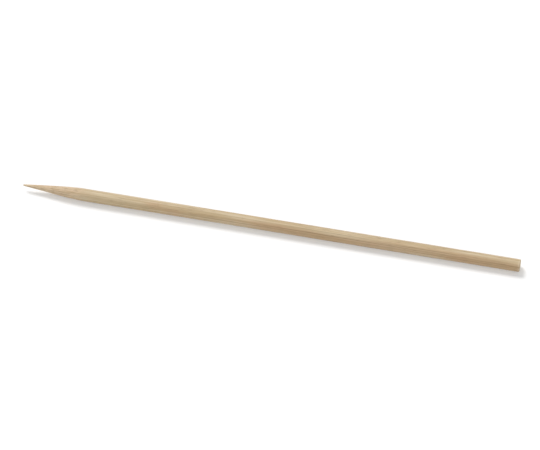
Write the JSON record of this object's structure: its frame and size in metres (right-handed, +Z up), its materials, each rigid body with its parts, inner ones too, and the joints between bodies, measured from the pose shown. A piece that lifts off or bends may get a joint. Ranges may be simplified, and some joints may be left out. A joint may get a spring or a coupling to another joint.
{
  "type": "bamboo skewer",
  "caption": "Round bamboo skewer with a long ground point, a softly rounded shoulder and a square-cut end.",
  "frame": {"origin": "on the skewer's axis, at the middle of its length", "axes": "+X along the skewer from its point to its cut end, +Z up when it lies on a table"},
  "size_m": [0.12, 0.003, 0.003],
  "materials": {
    "bamboo": "satin"
  },
  "bodies": {
    "root": {"skewer": "bamboo"}
  },
  "joints": []
}
